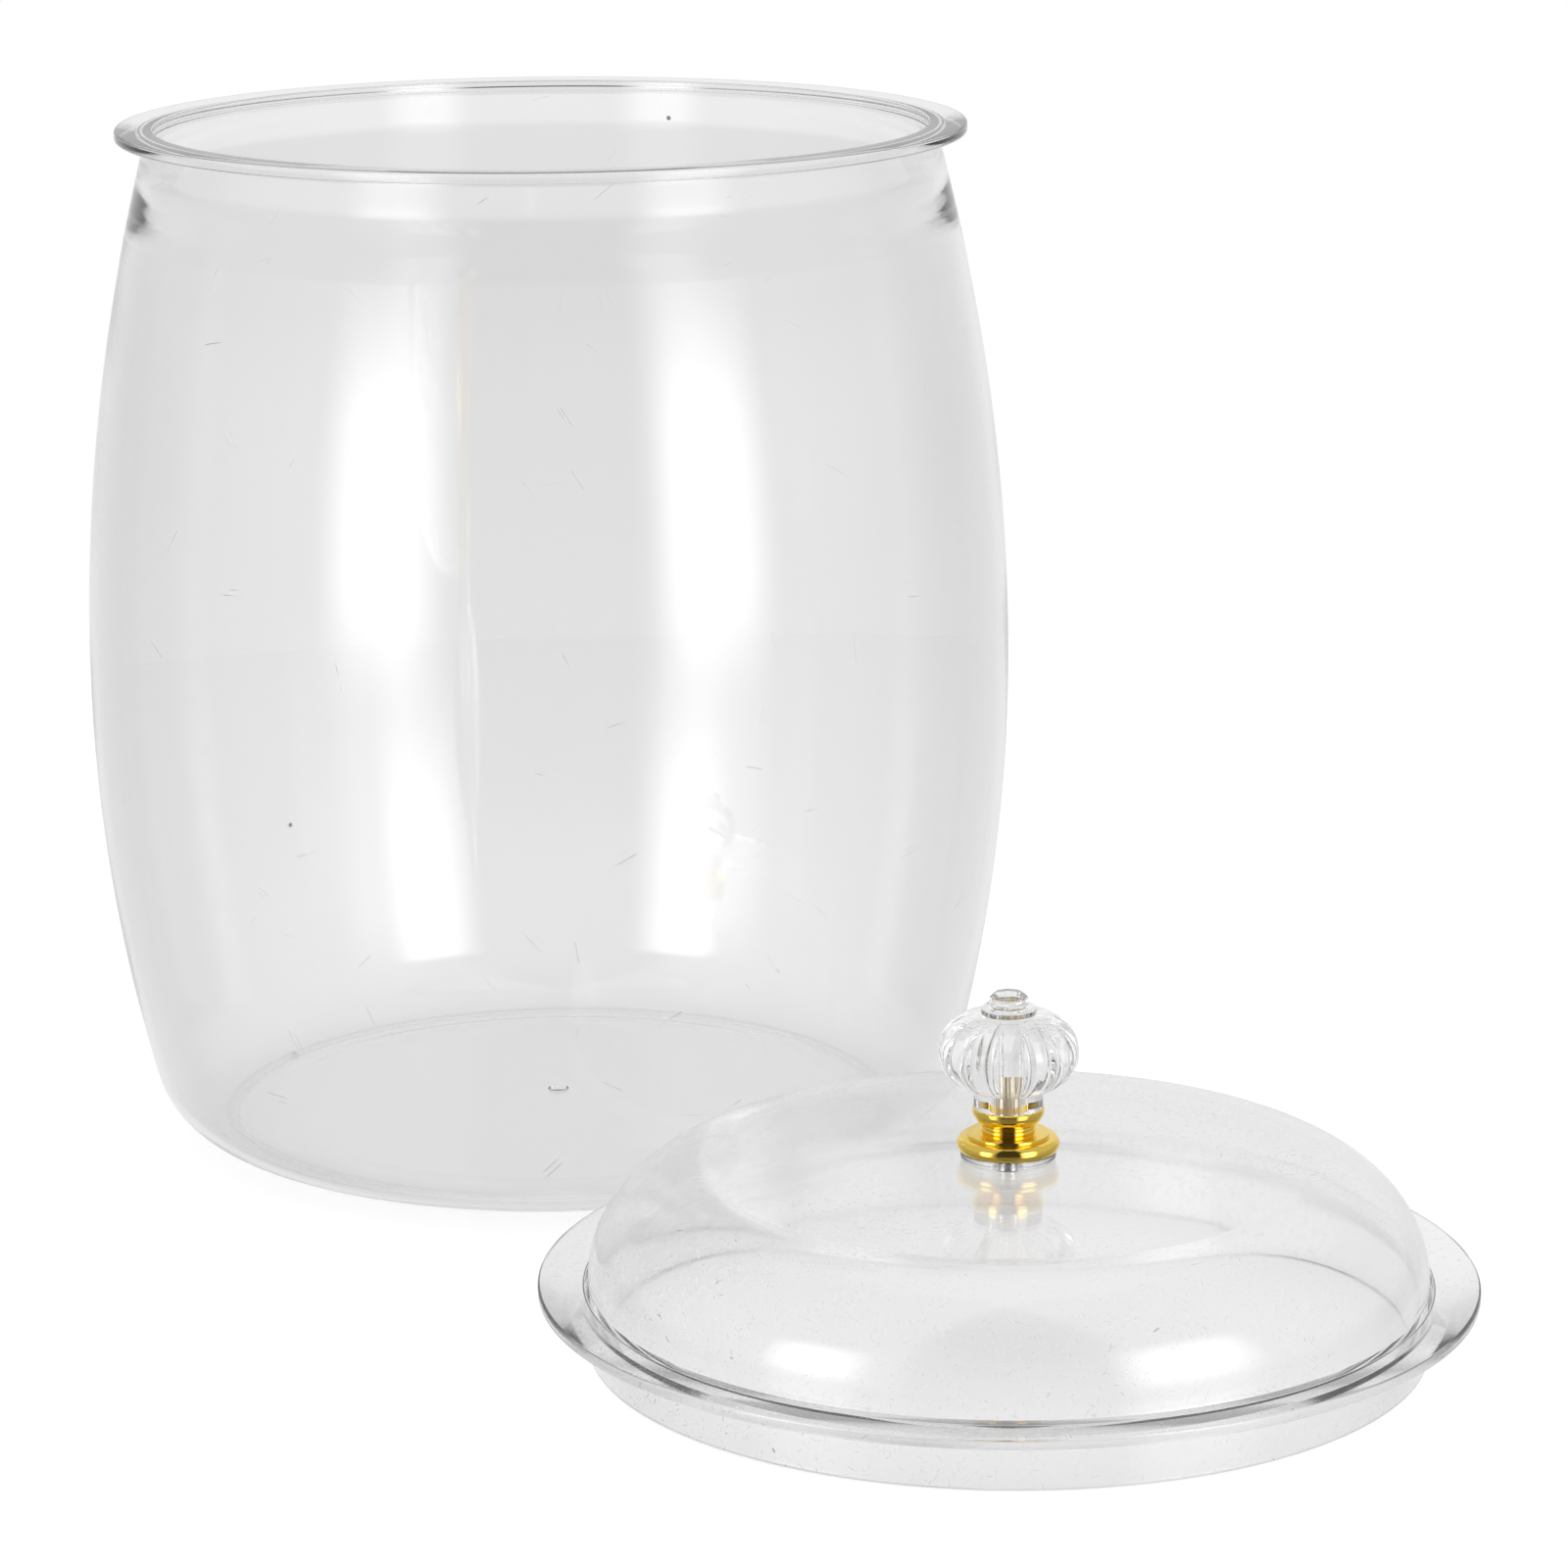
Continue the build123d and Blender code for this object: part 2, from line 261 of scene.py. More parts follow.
def clearPlastic(name, look):
    material, tree = newMaterial(name)
    coordinates = objectCoordinates(tree)
    smudge = noise(tree, coordinates, look["smudgeScale"], *look["smudgeNoise"])
    roughness = remap(tree, smudge, *look["smudgeSpan"], look["roughness"], look["smudgeRoughness"])
    waves = noise(tree, coordinates, look["waveScale"], *look["waveNoise"])
    bump = makeBump(tree, waves, look["waveStrength"], look["waveHeight"])
    marks = dustSpecks(tree, coordinates, look["speckScale"], look["speckSize"], look["speckShare"])
    scratches = 0.0
    for i in range(look["scratchLayers"]):
        shifted = placed(tree, coordinates, tuple(step * i for step in look["layerShift"]))
        scale = look["scratchScale"] * (1 + look["layerGrowth"] * i)
        more = hairScratches(
            tree, shifted, scale, look["scratchWidth"], look["scratchLength"], look["scratchShare"]
        )
        scratches = calculate(tree, "MAXIMUM", scratches, more)
    worn = noise(tree, coordinates, look["wornScale"], look["wornDetail"])
    worn = remap(tree, worn, *look["wornSpan"], look["leastWorn"], 1.0)
    scratches = calculate(tree, "MULTIPLY", scratches, worn)
    tone = noise(tree, coordinates, look["scratchScale"], look["toneDetail"])
    tone = remap(tree, tone, *look["toneSpan"], 0.0, 1.0)
    scratchColour = blendColours(tree, tone, look["darkScratch"], look["paleScratch"])
    scratchCover = calculate(tree, "MULTIPLY", scratches, look["scratchCover"])
    speckCover = calculate(tree, "MULTIPLY", marks, look["speckCover"])
    cover = calculate(tree, "MAXIMUM", scratchCover, speckCover)
    colour = blendColours(tree, scratches, look["tint"], scratchColour)
    colour = blendColours(tree, marks, colour, look["speckColour"])
    shader = addNode(
        tree,
        "BsdfPrincipled",
        {
            "Base Color": colour,
            "Roughness": roughness,
            "IOR": look["ior"],
            "Transmission Weight": calculate(tree, "SUBTRACT", 1.0, cover),
            "Normal": bump.outputs[0],
        },
    )
    letThrough = addNode(tree, "BsdfTransparent", {"Color": look["lampTint"]})
    lampRay = addNode(tree, "LightPath").outputs["Is Shadow Ray"]
    mixed = addNode(tree, "MixShader", {0: lampRay, 1: shader.outputs[0], 2: letThrough.outputs[0]})
    addNode(tree, "OutputMaterial", {"Surface": mixed.outputs[0]})
    return material


canisterLook = {
    "tint": (0.985, 0.985, 0.985, 1),
    "ior": 1.5,
    "roughness": 0.015,
    "smudgeRoughness": 0.05,
    "smudgeScale": 16.0,
    "smudgeNoise": (5.0, 0.6, 0.4),    # detail, roughness and distortion
    "smudgeSpan": (0.45, 0.75),
    "waveScale": 14.0,
    "waveNoise": (1.0, 0.4),
    "waveStrength": 0.4,
    "waveHeight": 0.25,
    "speckScale": 70.0,
    "speckSize": 0.05,
    "speckShare": 0.03,
    "speckCover": 0.9,
    "speckColour": (0.12, 0.11, 0.1, 1),
    "scratchScale": 110.0,
    "scratchWidth": 0.08,    # mm
    "scratchLength": 0.4,    # share of a cell
    "scratchShare": 0.1,     # of the cells
    "scratchLayers": 1,
    "layerShift": (0.013, 0.029, 0.017),    # metres, for each further layer
    "layerGrowth": 0.6,
    "scratchCover": 0.25,
    "paleScratch": (0.97, 0.97, 0.97, 1),
    "darkScratch": (0.3, 0.3, 0.3, 1),
    "toneDetail": 1.0,
    "toneSpan": (0.42, 0.5),
    "wornScale": 18.0,
    "wornDetail": 3.0,
    "wornSpan": (0.35, 0.65),
    "leastWorn": 0.15,
    "lampTint": (0.93, 0.93, 0.93, 1),
}
canisterPlastic = clearPlastic("canister_plastic", canisterLook)

lidLook = dict(
    canisterLook,
    roughness=0.03,
    smudgeRoughness=0.08,
    scratchScale=330.0,
    scratchWidth=0.06,
    scratchShare=0.75,
    scratchLayers=2,
    scratchCover=0.4,
    speckShare=0.015,
)
lidPlastic = clearPlastic("lid_plastic", lidLook)

knobLook = dict(
    canisterLook,
    ior=1.49,
    roughness=0.0,
    smudgeRoughness=0.012,
    waveStrength=0.1,
    scratchScale=300.0,
    speckShare=0.0,
)
knobAcrylic = clearPlastic("knob_acrylic", knobLook)
washerPlastic = clearPlastic("washer_plastic", dict(knobLook, tint=(0.95, 0.95, 0.95, 1)))


def polishedMetal(name, look):
    material, tree = newMaterial(name)
    coordinates = objectCoordinates(tree)
    stretched = placed(tree, coordinates, (0, 0, 0), stretch=look["grainStretch"])
    grain = noise(tree, stretched, look["grainScale"], look["grainDetail"])
    tarnish = noise(tree, coordinates, look["tarnishScale"], *look["tarnishNoise"])
    tarnish = remap(tree, tarnish, *look["tarnishSpan"], 0.0, 1.0)
    colour = blendColours(tree, tarnish, look["colour"], look["tarnishColour"])
    roughness = remap(tree, grain, *look["grainSpan"], look["roughness"], look["grainRoughness"])
    bump = makeBump(tree, grain, look["grainStrength"], look["grainDepth"])
    shader = addNode(
        tree,
        "BsdfPrincipled",
        {"Base Color": colour, "Roughness": roughness, "Metallic": 1.0, "Normal": bump.outputs[0]},
    )
    addNode(tree, "OutputMaterial", {"Surface": shader.outputs[0]})
    return material


goldLook = {
    "colour": (0.98, 0.7, 0.13, 1),
    "tarnishColour": (0.93, 0.62, 0.11, 1),
    "tarnishScale": 60.0,
    "tarnishNoise": (4.0, 0.6, 0.3),   # detail, roughness and distortion
    "tarnishSpan": (0.4, 0.7),
    "roughness": 0.04,
    "grainRoughness": 0.1,
    "grainStretch": (0.2, 0.2, 3.0),
    "grainScale": 900.0,
    "grainDetail": 3.0,
    "grainSpan": (0.35, 0.7),
    "grainStrength": 0.15,
    "grainDepth": 0.01,
}
goldPlate = polishedMetal("gold_plate", goldLook)
brassLook = dict(
    goldLook,
    colour=(0.93, 0.86, 0.72, 1),
    tarnishColour=(0.88, 0.78, 0.6, 1),
    roughness=0.35,
    grainRoughness=0.5,
)
brass = polishedMetal("brass", brassLook)
steelLook = dict(
    goldLook,
    colour=(0.86, 0.86, 0.87, 1),
    tarnishColour=(0.76, 0.76, 0.78, 1),
    roughness=0.3,
    grainRoughness=0.45,
)
steel = polishedMetal("steel", steelLook)
print("materials made")

# Canister body: a clear barrel with a flat rim, a conical neck and a pushed-up base
barrel = {
    "bellyRadius": 110.0,
    "bellyHeight": 113.0,
    "lowerSideRadius": 390.0,
    "upperSideRadius": 470.0,
    "neckDraft": 11.0,
    "neckLength": 37.0,
    "wall": 2.2,
    "rimThickness": 2.4,
    "rimWidth": 5.8,
    "neckWall": 3.2,
    "boreDepth": 9.6,
    "boreBlend": 16.0,
    "cornerRadius": 20.0,
    "footWidth": 8.1,
    "recessDepth": 1.2,
    "baseCrown": 2.5,
    "gateRadius": 2.2,
    "gateHeight": 0.8,
    "gateRound": 0.4,
    "gateDraft": 0.3,
    "edgeRound": 0.6,
    "neckRound": 1.2,
    "pinch": 1.1,            # how much the neck is drawn in under the rim, and where that begins
    "pinchHeight": 217.0,
    "pinchRound": 300.0,
    "recessSlant": 7.6,      # how far the recess's wall leans out on its way down
    "recessRound": 45.0,
    "sideSteps": 40,
    "dishSteps": 16,
    "blendSteps": 14,
    "turnSteps": 288,
}


def barrelSide(size, inset):       # foot corner, lower side and upper side
    drop = size["bellyHeight"] - size["cornerRadius"]
    reach = size["lowerSideRadius"] - size["cornerRadius"]
    lowerCentre = (size["bellyRadius"] - size["lowerSideRadius"], size["bellyHeight"])
    upperCentre = (size["bellyRadius"] - size["upperSideRadius"], size["bellyHeight"])
    cornerCentre = (lowerCentre[0] + math.sqrt(reach**2 - drop**2), size["cornerRadius"])
    cornerAngle = math.degrees(math.asin(drop / reach))
    steps = size["sideSteps"]
    corner = arcRun(cornerCentre, size["cornerRadius"] - inset, -90, -cornerAngle, steps // 2)
    lower = arcRun(lowerCentre, size["lowerSideRadius"] - inset, -cornerAngle, 0, steps)
    upper = arcRun(upperCentre, size["upperSideRadius"] - inset, 0, size["neckDraft"], steps)
    return corner + lower[1:] + upper[1:]


def easeBetween(start, startSlope, end, endSlope, steps):  # slopes are radius over height
    span = end[1] - start[1]
    points = []
    for i in range(steps + 1):
        t = i / steps
        bend = (2 * t**3 - 3 * t**2 + 1) * start[0] + (t**3 - 2 * t**2 + t) * span * startSlope
        bend += (3 * t**2 - 2 * t**3) * end[0] + (t**3 - t**2) * span * endSlope
        points.append((bend, start[1] + span * t))
    return points


def barrelOutline(size):
    outer = barrelSide(size, 0)
    inner = barrelSide(size, size["wall"])
    slope = math.tan(math.radians(size["neckDraft"]))
    rimUnderside = outer[-1][1] + size["neckLength"]
    neckRadius = outer[-1][0] - size["neckLength"] * slope
    top = rimUnderside + size["rimThickness"]
    mouthRadius = neckRadius - size["neckWall"]
    boreBottom = top - size["boreDepth"]
    blendBottom = boreBottom - size["boreBlend"]
    coneRadius = inner[-1][0] - (blendBottom - inner[-1][1]) * slope
    recessRadius = outer[0][0] - size["footWidth"]
    rimRadius = neckRadius + size["rimWidth"]
    crown = size["recessDepth"] + size["baseCrown"]
    floor = size["wall"] + size["recessDepth"]
    gateFace = crown - size["gateHeight"]
    nub = roundCorners(
        [
            (0, gateFace, 0),
            (size["gateRadius"], gateFace, size["gateRound"]),
            (size["gateRadius"] + size["gateDraft"], crown, 0),
        ]
    )
    dish = arcInto((0, crown), 90, (recessRadius, size["recessDepth"]), size["dishSteps"])
    widerRound = size["recessRound"] + size["wall"]
    foot = roundCorners(
        [
            (*dish[-2], 0),
            (*dish[-1], size["recessRound"]),
            (recessRadius + size["recessSlant"], 0, widerRound),
            (outer[0][0], 0, 0),
        ]
    )
    pinchRadius = neckRadius + (rimUnderside - size["pinchHeight"]) * slope
    rim = roundCorners(
        [
            (*outer[-1], 0),
            (pinchRadius, size["pinchHeight"], size["pinchRound"]),
            (neckRadius - size["pinch"], rimUnderside, size["neckRound"]),
            (rimRadius, rimUnderside, size["edgeRound"]),
            (rimRadius, top, size["edgeRound"]),
            (mouthRadius, top, size["edgeRound"]),
            (mouthRadius, boreBottom, 0),
        ]
    )
    blendEnd = (coneRadius, blendBottom)
    blend = easeBetween((mouthRadius, boreBottom), 0, blendEnd, -slope, size["blendSteps"])
    wallShift = size["wall"] * math.tan(math.atan2(size["recessDepth"], size["recessSlant"]) / 2)
    bowlEdge = (recessRadius + wallShift, floor)
    bowl = arcInto((0, floor + size["baseCrown"]), 90, bowlEdge, size["dishSteps"])
    step = roundCorners(
        [
            (inner[0][0], size["wall"], 0),
            (recessRadius + size["recessSlant"] + wallShift, size["wall"], size["recessRound"]),
            (*bowl[-1], widerRound),
            (*bowl[-2], 0),
        ]
    )
    dishPast = [point for point in dish[:-2] if point[0] > nub[-1][0]]
    outside = nub + dishPast + foot + outer[1:] + rim[1:] + blend[1:]
    return outside + inner[::-1] + step[1:] + bowl[-3::-1]


def makeBarrel(size):
    bm = spinOutline(barrelOutline(size), (0, 0), size["turnSteps"], closed=False)
    finishPiece("barrelWall", bm, "canister", "canister_body", canisterPlastic)


makeBarrel(barrel)

# Lid: a clear dome with a flat flange and a plug skirt, standing on its skirt
lidLow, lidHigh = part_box("lid_shell")
lidAxis = ((lidLow.x + lidHigh.x) / 2 / mm, (lidLow.y + lidHigh.y) / 2 / mm)
lidSize = {
    "plugDepth": 12.6,
    "plugRadius": 90.37,
    "plugTaper": 0.5,
    "flangeThickness": 2.4,
    "flangeRadius": 100.47,
    "domeRadius": 89.77,
    "domeRise": 25.9,
    "sideRadius": 24.5,
    "sideTurn": 46.5,
    "shoulderRadius": 27.0,
    "shoulderTurn": 41.5,
    "seatRadius": 11.4,
    "holeRadius": 2.3,
    "wall": 2.2,
    "edgeRound": 0.6,
    "plugRound": 0.8,
    "sideSteps": 22,
    "crownSteps": 16,
    "turnSteps": 288,
}
lidTop = lidSize["plugDepth"] + lidSize["flangeThickness"] + lidSize["domeRise"]


def domeRun(size, inset):
    foot = size["plugDepth"] + size["flangeThickness"]
    sideCentre = (size["domeRadius"] - size["sideRadius"], foot)
    side = arcRun(sideCentre, size["sideRadius"] - inset, 0, size["sideTurn"], size["sideSteps"])
    outerEnd = arcRun(sideCentre, size["sideRadius"], 0, size["sideTurn"], 1)[-1]
    shoulderCentre = arcRun(outerEnd, size["shoulderRadius"], 0, size["sideTurn"] + 180, 1)[-1]
    turned = size["sideTurn"] + size["shoulderTurn"]
    shoulderRadius = size["shoulderRadius"] - inset
    shoulder = arcRun(shoulderCentre, shoulderRadius, size["sideTurn"], turned, size["sideSteps"])
    seatEdge = (size["seatRadius"], lidTop - inset)
    crown = arcInto(shoulder[-1], turned, seatEdge, size["crownSteps"])
    return side + shoulder[1:] + crown[1:]


def lidOutline(size):
    outer = domeRun(size, 0)
    inner = domeRun(size, size["wall"])
    flangeTop = size["plugDepth"] + size["flangeThickness"]
    skirtRadius = size["plugRadius"] - size["plugTaper"]
    brim = roundCorners(
        [
            (*outer[0], 0),
            (size["flangeRadius"], flangeTop, size["edgeRound"]),
            (size["flangeRadius"], size["plugDepth"], size["edgeRound"]),
            (size["plugRadius"], size["plugDepth"], size["edgeRound"]),
            (skirtRadius, 0, size["plugRound"]),
            (skirtRadius - size["wall"], 0, size["edgeRound"]),
            (*inner[0], 0),
        ]
    )
    hole = [(size["holeRadius"], lidTop - size["wall"]), (size["holeRadius"], lidTop)]
    return brim[1:-1] + inner + hole + outer[::-1]


def makeLid(size):
    bm = spinOutline(lidOutline(size), lidAxis, size["turnSteps"], closed=True)
    finishPiece("lidDome", bm, "lid", "lid_shell", lidPlastic)


makeLid(lidSize)

# Clear washer between the dome and the gold base
washerSize = {
    "radius": 10.2,
    "thickness": 1.8,
    "airGap": 0.05,          # a film of air above and below it lets light through
    "holeRadius": 2.3,
    "edgeRound": 0.35,
    "turnSteps": 96,
}


def makeWasher(size):
    low = lidTop + size["airGap"]
    top = lidTop + size["thickness"] - size["airGap"]
    outline = roundCorners(
        [
            (size["holeRadius"], low, 0),
            (size["radius"], low, size["edgeRound"]),
            (size["radius"], top, size["edgeRound"]),
            (size["holeRadius"], top, 0),
        ]
    )
    bm = spinOutline(outline, lidAxis, size["turnSteps"], closed=True)
    finishPiece("clearSeat", bm, "lid", "clear_washer", washerPlastic)


makeWasher(washerSize)

# Gold base: rolled foot, ledge, cove, beaded waist and a cup for the head's stem
goldSize = {
    "footRadius": 11.0,
    "footHeight": 3.0,
    "footUndercut": 0.8,
    "ledgeRadius": 8.7,
    "ledgeHeight": 0.9,
    "ledgeSwell": 0.15,
    "ledgeUndercut": 0.3,
    "coveHeight": 0.4,
    "waistRadius": 5.6,
    "waistBead": 0.32,
    "beadHeight": 0.85,
    "beadCount": 2,
    "cupRadius": 7.7,
    "cupHeight": 3.5,
    "cupLip": 0.6,
    "lipBevel": 0.2,
    "cupBore": 6.6,
    "cupFloor": 2.7,
    "holeRadius": 2.3,
    "footSteps": 18,
    "ringSteps": 8,
    "coveSteps": 10,
    "cupSteps": 14,
    "turnSteps": 128,
}
baseBottom = lidTop + washerSize["thickness"]
ledgeBottom = baseBottom + goldSize["footHeight"]
coveBottom = ledgeBottom + goldSize["ledgeHeight"]
waistBottom = coveBottom + goldSize["coveHeight"]
cupBottom = waistBottom + goldSize["beadCount"] * goldSize["beadHeight"]
cupRim = cupBottom + goldSize["cupHeight"]
cupFloor = cupBottom + goldSize["cupFloor"]


def bulge(low, high, swell, steps):        # arc from low to high that swells outward
    middle = ((low[0] + high[0]) / 2 + swell, (low[1] + high[1]) / 2)
    half = (high[1] - low[1]) / 2
    radius = (half**2 + swell**2) / (2 * swell)
    centre = (middle[0] - radius, middle[1])
    reach = math.degrees(math.asin(half / radius))
    return arcRun(centre, radius, -reach, reach, steps)


def goldOutline(size):
    steps = size["ringSteps"]
    footEdge = size["footRadius"] - size["footUndercut"]
    footEnds = (footEdge, baseBottom), (footEdge, ledgeBottom)
    foot = bulge(*footEnds, size["footUndercut"], size["footSteps"])
    ledgeEnds = (size["ledgeRadius"], ledgeBottom), (size["ledgeRadius"], coveBottom)
    ledge = bulge(*ledgeEnds, size["ledgeSwell"], steps)
    coveEdge = (size["ledgeRadius"] - size["ledgeUndercut"], coveBottom)
    cove = arcInto(coveEdge, -90, (size["waistRadius"], waistBottom), size["coveSteps"])
    beads = []
    for i in range(size["beadCount"]):
        low = waistBottom + i * size["beadHeight"]
        high = low + size["beadHeight"]
        beads += bulge((size["waistRadius"], low), (size["waistRadius"], high), size["waistBead"], steps)
    cupEdge = (size["cupRadius"], cupRim - size["cupLip"])
    cup = arcInto(cupEdge, 0, (size["waistRadius"], cupBottom), size["cupSteps"])[::-1]
    lip = [
        (size["cupRadius"], cupRim - size["lipBevel"]),
        (size["cupRadius"] - size["lipBevel"], cupRim),
        (size["cupBore"], cupRim),
        (size["cupBore"], cupFloor),
        (size["holeRadius"], cupFloor),
        (size["holeRadius"], baseBottom),
    ]
    return foot + ledge + cove + beads + cup[1:] + lip


def makeGoldBase(size):
    bm = spinOutline(goldOutline(size), lidAxis, size["turnSteps"], closed=True)
    finishPiece("goldTurning", bm, "knob", "knob_base", goldPlate, 40)


makeGoldBase(goldSize)

# Knob head: ribbed clear acrylic with a stem below, and a ring and an eight-sided finial on top
headSize = {
    "radius": 15.0,
    "coreRadius": 5.4,
    "halfHeight": 8.6,
    "endAngle": 80.0,
    "lobes": 14,
    "lobeDepth": 1.4,
    "lobeFlatness": 4.5,     # 2 is an even curve, and more is a flatter lobe with a narrower valley
    "stemRadius": 6.5,
    "collarRadius": 7.4,     # the stem above the cup's rim
    "seatGap": 0.06,         # between the head and the gold below it
    "stemAboveCup": 3.6,
    "ringRadius": 5.9,
    "ringHeight": 1.6,
    "ringSink": 0.4,
    "ringRound": 0.5,
    "finialRadius": 4.1,
    "finialHeight": 3.0,
    "finialSides": 8,
    "finialBevel": 0.9,
    "boreRadius": 2.7,
    "boreDepth": 10.05,
    "stepsPerLobe": 16,
    "ringSteps": 4,
    "levels": 36,
}


def lobedRadius(size, turn, crest, depth):  # each lobe is a flat bulge between two valleys
    share = (turn * size["lobes"] / fullTurn + 0.5) % 1 - 0.5
    return crest - depth * abs(2 * share) ** size["lobeFlatness"]


def sidedRadius(size, turn, radius):        # flat sides of a regular polygon
    side = fullTurn / size["finialSides"]
    return radius * math.cos(side / 2) / math.cos(turn % side - side / 2)


def headLevels(size):                       # height, then a function that gives the radius at a turn
    middle = cupRim + size["stemAboveCup"] + size["halfHeight"]
    ringBottom = middle + size["halfHeight"] - size["ringSink"]
    ringTop = ringBottom + size["ringHeight"]
    top = ringTop + size["finialHeight"]
    stemBottom = cupFloor + size["seatGap"]
    collarBottom = cupRim + size["seatGap"]
    collarTop = middle - size["halfHeight"] * math.sin(math.radians(size["endAngle"]))
    levels = [
        (cupFloor + size["boreDepth"], lambda turn: size["boreRadius"]),
        (stemBottom, lambda turn: size["boreRadius"]),
        (stemBottom, lambda turn: size["stemRadius"]),
        (collarBottom, lambda turn: size["stemRadius"]),
        (collarBottom, lambda turn: size["collarRadius"]),
        (collarTop, lambda turn: size["collarRadius"]),
    ]
    for i in range(size["levels"] + 1):
        angle = math.radians(size["endAngle"] * (2 * i / size["levels"] - 1))
        crest = size["coreRadius"] + (size["radius"] - size["coreRadius"]) * math.cos(angle)
        depth = size["lobeDepth"] * math.cos(angle)
        height = middle + size["halfHeight"] * math.sin(angle)
        lobes = lambda turn, crest=crest, depth=depth: lobedRadius(size, turn, crest, depth)
        levels.append((height, lobes))
    levels.append((levels[-1][0], lambda turn: size["ringRadius"]))
    for i in range(size["ringSteps"] + 1):
        angle = math.radians(90 * i / size["ringSteps"])
        out = size["ringRadius"] - size["ringRound"] * (1 - math.cos(angle))
        up = ringTop - size["ringRound"] * (1 - math.sin(angle))
        levels.append((up, lambda turn, out=out: out))
    finial = lambda turn: sidedRadius(size, turn, size["finialRadius"])
    levels.append((ringTop, finial))
    levels.append((top - size["finialBevel"], finial))
    topRadius = size["finialRadius"] - size["finialBevel"]
    levels.append((top, lambda turn: sidedRadius(size, turn, topRadius)))
    return levels


def makeHead(size):
    bm = bmesh.new()
    axis = Vector((lidAxis[0], lidAxis[1], 0)) * mm
    count = size["lobes"] * size["stepsPerLobe"]
    bmesh.ops.create_circle(bm, segments=count, radius=1.0)
    ring = list(bm.verts)
    edges = list(bm.edges)
    for i, (height, radiusAt) in enumerate(headLevels(size)):
        centre = axis if i else Vector((0, 0, 0))          # the first circle is moved onto the axis
        if i:
            made = bmesh.ops.extrude_edge_only(bm, edges=edges)["geom"]
            edges = [g for g in made if isinstance(g, bmesh.types.BMEdge)]
            ring = [g for g in made if isinstance(g, bmesh.types.BMVert)]
        for v in ring:
            turn = math.atan2(v.co.y - centre.y, v.co.x - centre.x) + math.pi / 2
            radius = radiusAt(turn) * mm
            v.co = axis + Vector((radius * math.sin(turn), -radius * math.cos(turn), height * mm))
        if i == 0:
            bmesh.ops.contextual_create(bm, geom=edges)
    bmesh.ops.contextual_create(bm, geom=edges)
    bmesh.ops.remove_doubles(bm, verts=bm.verts, dist=mergeDistance)
    finishPiece("ribbedHead", bm, "knob", "knob_head", knobAcrylic, 30)


makeHead(headSize)

# The insert, the screw and the steel washer keep their shapes and get their metals
for nodeName, metal in (("knob_insert", brass), ("knob_screw", steel), ("steel_washer", steel)):
    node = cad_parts[nodeName]
    node.data.materials.clear()
    node.data.materials.append(metal)
print("pieces made")

# Stage: a white table, two tall soft panels in front, a soft lamp above and a plain white room
tableSize = {
    "radius": 620.0,
    "centre": (50.0, -60.0),
    "below": 0.2,
    "colour": 0.5,
    "glow": 0.58,
    "through": 0.82,         # share of its level that shows through the plastic
    "segments": 180,
}
softPanels = {
    "distance": 700.0,
    "turns": (-37.0, 41.0),      # degrees from straight towards the camera's side
    "width": 440.0,
    "low": -300.0,
    "high": 420.0,
    "strength": 3.4,
    "sideFade": 0.4,
    "lowFade": 0.15,
    "highFade": 0.25,
    "lowShare": 0.3,            # of the strength, in the lower part
    "lowerPart": (0.42, 0.6),    # where it gives way to the upper part, as shares of the height
}
overhead = {"height": 1900.0, "size": 1600.0, "power": 20.0}
room = {
    "back": 0.84,
    "sidesLow": 0.36,
    "sidesHigh": 0.62,
    "sidesRise": (-0.08, 0.1),   # heights on a ball of radius 1, as for the other rises
    "sideSpan": (-1.0, -0.5),    # cosines of the turn from the camera's side
    "frontSpan": (0.8, 0.914),
    "frontLow": 0.25,            # the dark side behind the camera, near the floor and above
    "frontHigh": 0.05,
    "frontRise": (-0.4, -0.22),
    "floor": 0.85,                # share of the level that is left straight below
    "floorRise": (-0.8, -0.45),
    "throughLow": 0.9,
    "throughHigh": 0.81,
    "throughRise": (-0.205, -0.11),
}


# What the camera sees, what it sees straight through the plastic, and what it sees mirrored, differ
def sightRays(tree):
    lightPath = addNode(tree, "LightPath")
    firstMirror = 0.5        # below one glossy bounce
    unmirrored = calculate(tree, "LESS_THAN", lightPath.outputs["Glossy Depth"], firstMirror)
    straight = calculate(tree, "MULTIPLY", lightPath.outputs["Is Transmission Ray"], unmirrored)
    return lightPath.outputs["Is Camera Ray"], straight


def bySight(tree, seen, through, mirrored):
    camera, straight = sightRays(tree)
    return mixValues(tree, camera, mixValues(tree, straight, mirrored, through), seen)


